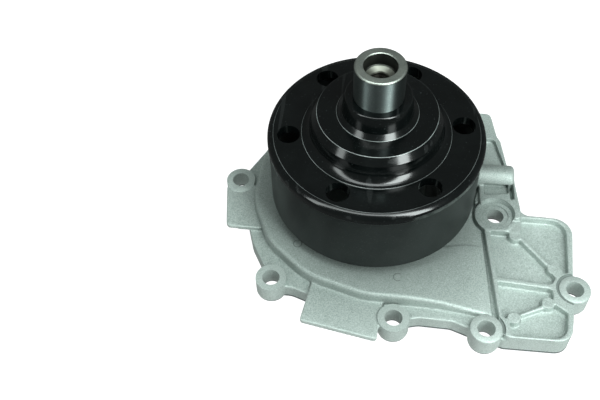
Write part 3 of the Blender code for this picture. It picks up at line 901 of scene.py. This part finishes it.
def cast_blank():
    """The casting before machining: flange, roof, plates, ribs and the bearing's neck, softened."""
    blank = prism("housing_casting", rounded(FLANGE), STOCK_BOTTOM, WEB_TOP)
    raised = [lean(prism("roof", rounded(ROOF), BOSS_BOTTOM, ROOF_TOP, ROOF_ROUND, 7), True)]
    raised.append(prism("rib_plate", rounded(RIB_PLATE), PLATE_BOTTOM, PLATE_TOP))
    raised.append(prism("north_block", rounded(NORTH_BLOCK), BOSS_BOTTOM, BLOCK_TOP))
    raised.append(disc("ring_boss", *RING_HOLE, RING_BOSS_R, BOSS_BOTTOM, RING_BOSS_TOP))
    raised.append(prism("top_plate", rounded(TOP_PLATE), TOP_PLATE_BOTTOM, LUG_TOP))
    raised.append(prism("left_tab", rounded(LEFT_TAB), LEFT_TAB_BOTTOM, LEFT_TAB_TOP))
    raised.append(prism("bottom_tab", rounded(BOTTOM_TAB), BOTTOM_TAB_BOTTOM, BOTTOM_TAB_TOP))
    for index, (x, y) in enumerate(LUGS):
        top = MOAT_SEAT if index in SPOT_FACED_LUGS else LUG_TOP
        raised.append(disc(f"lug_{index}", x, y, LUG_R, STOCK_BOTTOM, top + MILLED_OFF))
    boss_start = (SIDE_BOSS_START, SIDE_BOSS_Y, SIDE_BOSS_Z)
    boss_end = (SIDE_BOSS_END, SIDE_BOSS_Y, SIDE_BOSS_Z)
    raised.append(bar("side_boss", boss_start, boss_end, SIDE_BOSS_R, SIDE_BOSS_ROUND))
    raised.append(prism("boss_foot", rounded(BOSS_FOOT), FOOT_BOTTOM, SIDE_BOSS_Z))
    neck = [(0, 12), (36, 12), (36, 14.6)] + arc((35, 21.5), 6.8, 268, 182, 8)
    neck += [(28, 30), (27.6, NECK_TOP - 1), (26.6, NECK_TOP), (0, NECK_TOP)]
    raised.append(turned("neck", neck))
    combine(blank, raised, "UNION")

    cavity = offset(rounded(VOLUTE), -VOLUTE_WALL)
    hollow = [lean(prism("cavity", cavity, -5.0, CEILING, CEILING_ROUND, 6))]
    hollow.append(lean(prism("terrace", rounded(TERRACE), ROOF_TOP - TERRACE_DEPTH, ROOF_TOP + 5)))
    hollow.append(prism("upper_pocket", rounded(UPPER_POCKET), POCKET_FLOOR, PLATE_TOP + 5))
    hollow.append(prism("lower_pocket", rounded(LOWER_POCKET), POCKET_FLOOR, PLATE_TOP + 5))
    hollow.append(prism("recess", rounded(RECESS), RECESS_FLOOR, LUG_TOP + 0.6))
    hollow.append(prism("trough", rounded(TROUGH), TROUGH_FLOOR, BLOCK_TOP + 1))
    hollow.append(prism("slot", rounded(SLOT), SLOT_FLOOR, BLOCK_TOP + 1))
    gap = curved_slot(*RING_HOLE, RING_BOSS_R, RING_BOSS_R + RING_GAP_WIDTH, 138, 232)
    hollow.append(prism("ring_gap", gap, WEB_TOP + 0.7, ROOF_TOP + 1))
    combine(blank, hollow, "DIFFERENCE")
    ribs = [prism("upper_rib", rounded(UPPER_RIB), POCKET_FLOOR - 1, PLATE_TOP - 0.3)]
    ribs.append(prism("upper_link", rounded(UPPER_LINK), POCKET_FLOOR - 1, PLATE_TOP - 0.1))
    ribs.append(prism("lower_rib", rounded(LOWER_RIB), POCKET_FLOOR - 1, PLATE_TOP - 0.8))
    for index, (x, y) in enumerate(EJECTOR_PADS):
        ribs.append(disc(f"pad_{index}", x, y, EJECTOR_PAD_R, POCKET_FLOOR - 1.1, PLATE_TOP - 0.2))
    combine(blank, ribs, "UNION")
    soften_casting(blank)
    return blank


def make_housing(cast, machined):
    """The die-cast body: a softened casting, then its machined faces and holes."""
    blank = cast_blank()
    cuts = [prism("under_cut", circle(20, -5, 160), -20.0, MATING_Z)]
    for index, (x, y) in enumerate(LUGS):
        if index in SPOT_FACED_LUGS:
            seat = MOAT_SEAT
            ring = [(LUG_R - 0.1, seat - 0.6), (SPOT_FACE_R, seat - 0.6)]
            ring += [(SPOT_FACE_R + 0.2, LUG_TOP + 8), (0, LUG_TOP + 8), (0, seat)]
            ring += [(LUG_R - 0.4, seat), (LUG_R - 0.1, seat - 0.2)]
            cuts.append(turned_at(f"moat_{index}", x, y, ring))
        else:
            cuts.append(disc(f"spot_face_{index}", x, y, LUG_R + 0.6, LUG_TOP, LUG_TOP + 8))
        cuts.append(disc(f"bolt_hole_{index}", x, y, BOLT_HOLE_R, -10.0, LUG_TOP + 5))
    cone = [(0, RING_SEAT_Z), (RING_SEAT_R, RING_SEAT_Z), (RING_SEAT_R, COUNTERBORE_FLOOR)]
    cone += [(COUNTERBORE_R - 0.6, COUNTERBORE_FLOOR), (COUNTERBORE_R + 0.4, BLOCK_TOP)]
    cone += [(COUNTERBORE_R + 1.4, BLOCK_TOP + 2.5), (0, BLOCK_TOP + 2.5)]
    cuts.append(turned_at("counterbore", *RING_HOLE, cone, 96))
    cuts.append(disc("ring_hole", *RING_HOLE, BOLT_HOLE_R, -10.0, BLOCK_TOP + 5))
    cuts.append(disc("ring_relief", *RING_HOLE, RING_RELIEF_R, -10.0, RING_RELIEF_TOP))
    for index, (x, y) in enumerate(ROOF_MARKS):
        floor = ROOF_TOP - MARK_DEPTH
        over = ROOF_TOP + 1
        ring = [(MARK_INNER_R, floor), (MARK_OUTER_R, floor), (MARK_OUTER_R, over), (MARK_INNER_R, over)]
        cuts.append(turned_at(f"roof_mark_{index}", x, y, ring, 48))
    bore = [(0, 5), (SEAL_SEAT_R, 5), (SEAL_SEAT_R, SLEEVE_BACK - GAP)]
    bore += [(SLEEVE_R + GAP, SLEEVE_BACK - GAP), (SLEEVE_R + GAP, NECK_TOP + 5), (0, NECK_TOP + 5)]
    cuts.append(turned("bearing_bore", bore))
    cuts.append(bar("weep_hole", (0, -10, WEEP_HOLE_Z), (0, -45, WEEP_HOLE_Z), WEEP_HOLE_R))
    combine(blank, cuts, "DIFFERENCE")
    drop_crumbs(blank)

    give(blank, cast, machined)
    for face in blank.data.polygons:
        under = face.center.z < 0.05 * MM and face.normal.z < -0.9
        bored = Vector(face.center.xy).length < (SLEEVE_R + 0.5) * MM and face.center.z > 5 * MM
        face.material_index = 1 if under or bored else 0
    shade(blank, 40.0)
    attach(blank, "pump_body")
    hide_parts("housing")


def soften_casting(blank):
    """Small fillets and rounded edges all over, as a mould gives them."""
    skin = blank.modifiers.new("skin", "REMESH")
    skin.mode = "VOXEL"
    skin.voxel_size = CAST_VOXEL * MM
    skin.use_smooth_shade = True
    ease = blank.modifiers.new("ease", "SMOOTH")
    ease.factor = 0.5
    ease.iterations = CAST_SMOOTHING
    apply_modifiers(blank)
    triangles = 2 * len(blank.data.polygons)
    thin = blank.modifiers.new("thin", "DECIMATE")
    thin.ratio = min(1.0, CAST_TRIANGLES / triangles)
    apply_modifiers(blank)


# ---------------------------------------------------------------- pulley, shaft, impeller, gasket


def make_pulley(coat, track):
    """A bell pulley turned in one piece, with six drilled holes in its face."""
    inner_r = PULLEY_BODY_R - PULLEY_WALL
    face = PULLEY_FACE
    back = face - PULLEY_FACE_WALL
    bore = SHAFT_R + GAP
    disc_r = HUB_DISC_R
    skirt_r = HUB_SKIRT_R
    rim_r = PULLEY_R - RIM_ROUND
    track_r = PULLEY_BODY_R
    profile = [(bore - 0.2, HUB_TOP), (HUB_R, HUB_TOP)]
    profile += arc((HUB_R, HUB_TOP - HUB_ROUND), HUB_ROUND, 80, 10, 8)
    profile += [(HUB_FOOT_R, HUB_TOP - 9.3), (HUB_DISC_STEP_R - 0.15, HUB_DISC_TOP + 0.1)]
    profile += [(HUB_DISC_STEP_R, HUB_DISC_TOP), (disc_r, HUB_DISC_TOP)]
    profile += arc((disc_r, HUB_DISC_TOP - HUB_DISC_ROUND), HUB_DISC_ROUND, 80, 40, 4)
    profile += [(skirt_r - 0.1, HUB_DISC_TOP - 3.9), (skirt_r, HUB_DISC_TOP - 4.2)]
    profile += [(skirt_r, face + FACE_FILLET)]
    profile += arc((skirt_r + FACE_FILLET, face + FACE_FILLET), FACE_FILLET, 188, 268, 9)
    profile += [(skirt_r + FACE_FILLET + 0.1, face + 0.12), (skirt_r + FACE_FILLET + 0.4, face)]
    profile += [(rim_r - 0.2, face), (rim_r, face + 0.08)]
    profile += arc((rim_r, face - RIM_ROUND), RIM_ROUND, 84, 0, 8)
    profile += [(PULLEY_R, face - 5.2), (track_r, face - 6.2)]
    profile += [(track_r, PULLEY_BACK + 0.6), (track_r - 0.6, PULLEY_BACK)]
    profile += [(inner_r + 0.5, PULLEY_BACK), (inner_r, PULLEY_BACK + 0.5), (inner_r, back - BELL_ROUND)]
    profile += arc((inner_r - BELL_ROUND, back - BELL_ROUND), BELL_ROUND, 10, 90, 5)
    profile += [(BELL_STEP_R, back), (BELL_NECK_R, back + 4)]
    profile += [(BELL_NECK_R, BELL_CEILING), (bore - 0.2, BELL_CEILING)]
    pulley = turned("belt_pulley", profile, coat, TURNED_SIDES, 12)
    holes = []
    for index in range(PULLEY_HOLES):
        angle = math.radians(PULLEY_HOLE_ANGLE + 360 * index / PULLEY_HOLES)
        x = PULLEY_HOLE_CIRCLE_R * math.cos(angle)
        y = PULLEY_HOLE_CIRCLE_R * math.sin(angle)
        holes.append(disc(f"pulley_hole_{index}", x, y, PULLEY_HOLE_R, back - 8, face + 3))
    combine(pulley, holes, "DIFFERENCE")
    give(pulley, coat, track)
    for face in pulley.data.polygons:
        face.material_index = 1 if face.center.z < (PULLEY_FACE - 5.1) * MM else 0
    shade(pulley, 12)
    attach(pulley, "rotor")
    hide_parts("pulley")


def make_shaft(steel, end_steel):
    """The bearing's shaft, with a turned recess and a threaded hole in its free end."""
    end = SHAFT_END
    rear = IMPELLER_END + 3
    chamfer = 0.8
    round_r = 0.9
    profile = [(0, end - 26), (THREAD_CREST_R, end - 24)]
    for turn in range(THREAD_TURNS):
        level = end - 23.2 + THREAD_PITCH * turn
        profile += [(THREAD_CREST_R, level), (THREAD_ROOT_R, level + 0.7), (THREAD_CREST_R, level + 1.4)]
    profile += [(THREAD_CREST_R, end - 9.2), (THREAD_ROOT_R, end - 8.4)]
    profile += [(END_RECESS_FLOOR_R, end - 7.2), (END_RECESS_R - 0.1, end - 6.8)]
    profile += [(END_RECESS_R, end - 6.4), (END_RECESS_R, end - 0.5)]
    profile += [(END_RECESS_R + 0.15, end - 0.2), (END_RECESS_R + 0.5, end), (SHAFT_R - round_r, end)]
    profile += arc((SHAFT_R - round_r, end - round_r), round_r, 80, 0, 4)
    profile += [(SHAFT_R, SLEEVE_BACK), (SHAFT_R - chamfer, SLEEVE_BACK - chamfer)]
    profile += [(SHAFT_REAR_R, SLEEVE_BACK - chamfer), (SHAFT_REAR_R, rear + chamfer)]
    profile += [(SHAFT_REAR_R - chamfer, rear), (0, rear)]
    shaft = turned("drive_shaft", profile, steel, SHAFT_SIDES, 28)
    shaft.data.materials.append(end_steel)
    for face in shaft.data.polygons:
        recess = Vector(face.center.xy).length < (SHAFT_R - 1.0) * MM and face.center.z > (end - 30) * MM
        face.material_index = 1 if recess or face.center.z > (end - 0.9) * MM else 0
    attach(shaft, "rotor")
    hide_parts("shaft")


def make_gasket(sheet):
    """The flange's sheet gasket, cut out over the volute and round the bolts."""
    top = MATING_Z - GAP
    bottom = top - GASKET_THICKNESS
    gasket = prism("flange_gasket", rounded(FLANGE), bottom, top)
    ears = []
    for index, (x, y) in enumerate(LUGS):
        ears.append(disc(f"ear_{index}", x, y, LUG_R - 0.4, bottom - 0.01, top + 0.01))
    combine(gasket, ears, "UNION")
    opening = VOLUTE[:-3] + GASKET_OUTLET + VOLUTE[-1:]
    cuts = [prism("opening", rounded(opening), bottom - 1, top + 1)]
    for index, (x, y) in enumerate(LUGS):
        cuts.append(disc(f"gasket_hole_{index}", x, y, BOLT_HOLE_R + 0.3, bottom - 1, top + 1))
    cuts.append(disc("gasket_ring_hole", *RING_HOLE, RING_RELIEF_R + 0.3, bottom - 1, top + 1))
    combine(gasket, cuts, "DIFFERENCE")
    give(gasket, sheet)
    shade(gasket, 30)
    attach(gasket, "pump_body")
    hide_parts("gasket")


def dress_inner_parts(finishes):
    """The pieces hidden inside keep their CAD shapes and get their finishes."""
    by_name = {
        "bearing_sleeve": "race_steel",
        "bearing_rear_seal": "rubber",
        "bearing_front_seal": "rubber",
        "ball_cage": "cage_plastic",
        "roller_cage": "cage_plastic",
        "seal_cup": "brass",
        "seal_bellows": "rubber",
        "seal_spring": "bright_steel",
        "seal_carbon": "carbon",
        "seal_ring": "ceramic",
        "seal_ring_boot": "rubber",
        "impeller": "pressed_steel",
    }
    for name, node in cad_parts.items():
        if node.hide_render:
            continue
        give(node, finishes[by_name.get(name, "bright_steel")])


# ---------------------------------------------------------------- camera, light, floor

# The camera's place in millimetres from the pulley's face, its turns in degrees, its lens.
CAMERA_BACK = 288.9
CAMERA_UP = 318.2
CAMERA_PITCH = 52.53
CAMERA_YAW = -7.90
CAMERA_ROLL = -2.31
CAMERA_LENS = 51.0
# Metres.
LAMP_AIM = (0, 0, 0.06)
FLOOR_HALF_WIDTH = 3.0
FLOOR_CLEARANCE = 0.0005
DAYLIGHT = (0.95, 1.0, 0.98, 1)
LAMPLIGHT = (0.92, 1.0, 0.985)
# Name, azimuth and elevation in degrees, distance, width and height in metres, power in watts.
SOFTBOXES = [
    ("left_softbox", -52, 38, 1.1, 0.25, 1.3, 5.5),
    ("right_softbox", 44, 38, 1.1, 0.36, 1.3, 20),
    ("top_softbox", 0, 82, 1.3, 0.8, 0.5, 6.5),
]


def make_camera():
    """The camera stands over the -Y side and looks down at the pulley."""
    pitch = math.radians(CAMERA_PITCH)
    yaw = math.radians(CAMERA_YAW)
    roll = math.radians(CAMERA_ROLL)
    ahead = Vector((math.sin(yaw) * math.cos(pitch), math.cos(yaw) * math.cos(pitch), -math.sin(pitch)))
    side = Vector((math.cos(yaw), -math.sin(yaw), 0.0))
    above = side.cross(ahead)
    right = side * math.cos(roll) + above * math.sin(roll)
    up = above * math.cos(roll) - side * math.sin(roll)
    turn = Matrix((right, up, -ahead)).transposed().to_4x4()
    lens = bpy.data.cameras.new("camera")
    lens.lens = CAMERA_LENS
    lens.sensor_width = 36.0
    lens.clip_start = 0.01
    camera = bpy.data.objects.new("camera", lens)
    stand = Vector((0, -CAMERA_BACK, PULLEY_FACE + CAMERA_UP)) * MM
    camera.matrix_world = Matrix.Translation(stand) @ turn
    bpy.context.scene.collection.objects.link(camera)
    bpy.context.scene.camera = camera


def make_softbox(name, azimuth, elevation, distance, width, height, power):
    """An area light aimed at the pump, at an azimuth counted from the camera's side towards +X."""
    light = bpy.data.lights.new(name, "AREA")
    light.shape = "RECTANGLE"
    light.size = width
    light.size_y = height
    light.energy = power
    light.color = LAMPLIGHT
    lamp = bpy.data.objects.new(name, light)
    a = math.radians(azimuth)
    e = math.radians(elevation)
    away = Vector((math.sin(a) * math.cos(e), -math.cos(a) * math.cos(e), math.sin(e))) * distance
    lamp.location = Vector(LAMP_AIM) + away
    lamp.rotation_euler = away.to_track_quat("Z", "Y").to_euler()
    bpy.context.scene.collection.objects.link(lamp)


def make_stage():
    """A white floor under the pump, soft daylight all round and three softboxes."""
    shape = bmesh.new()
    bmesh.ops.create_grid(shape, x_segments=1, y_segments=1, size=FLOOR_HALF_WIDTH)
    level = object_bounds()[0][2] - FLOOR_CLEARANCE
    bmesh.ops.translate(shape, verts=shape.verts, vec=(0, 0, level))
    paper = Finish("white_paper", Base_Color=(0.20, 0.20, 0.20), Roughness=1.0)
    paper.set(Emission_Color=(1.0, 1.0, 1.0), Emission_Strength=1.0, Specular_IOR_Level=0.0)
    floor = place("floor", shape, paper.material)
    if floor.data.polygons[0].normal.z < 0:
        floor.data.flip_normals()
    floor.visible_glossy = False
    world = bpy.data.worlds.new("studio")
    world.use_nodes = True
    sky = world.node_tree.nodes["Background"].inputs
    sky["Color"].default_value = DAYLIGHT
    sky["Strength"].default_value = 0.12
    bpy.context.scene.world = world
    for softbox in SOFTBOXES:
        make_softbox(*softbox)
    bpy.context.scene.view_settings.view_transform = "Standard"


def main():
    """Builds the visible pieces, finishes the rest, and sets them on the floor."""
    finishes = {
        "race_steel": plain_metal("race_steel", (0.42, 0.43, 0.43), (0.52, 0.53, 0.52), 0.28),
        "bright_steel": plain_metal("bright_steel", (0.58, 0.58, 0.59), (0.66, 0.66, 0.67), 0.12),
        "pressed_steel": plain_metal("pressed_steel", (0.28, 0.29, 0.28), (0.42, 0.43, 0.42), 0.36, 300),
        "brass": plain_metal("brass", (0.62, 0.44, 0.17), (0.76, 0.57, 0.26), 0.28),
        "rubber": dull("rubber", (0.012, 0.012, 0.012), (0.022, 0.022, 0.022), 0.55),
        "cage_plastic": dull("cage_plastic", (0.48, 0.41, 0.29), (0.58, 0.51, 0.38), 0.45, 1200, 0.05),
        "carbon": dull("carbon", (0.02, 0.02, 0.02), (0.04, 0.04, 0.04), 0.35, 1500, 0.05),
        "ceramic": dull("ceramic", (0.70, 0.67, 0.60), (0.78, 0.75, 0.69), 0.22, 1500, 0.02),
    }
    make_housing(cast_aluminium(), machined_aluminium())
    make_pulley(gloss_black(), belt_track())
    make_shaft(ground_steel(), turned_steel())
    make_gasket(dull("gasket_sheet", (0.045, 0.060, 0.060), (0.085, 0.105, 0.105), 0.75, 1800, 0.3))
    dress_inner_parts(finishes)
    make_stage()
    make_camera()


main()
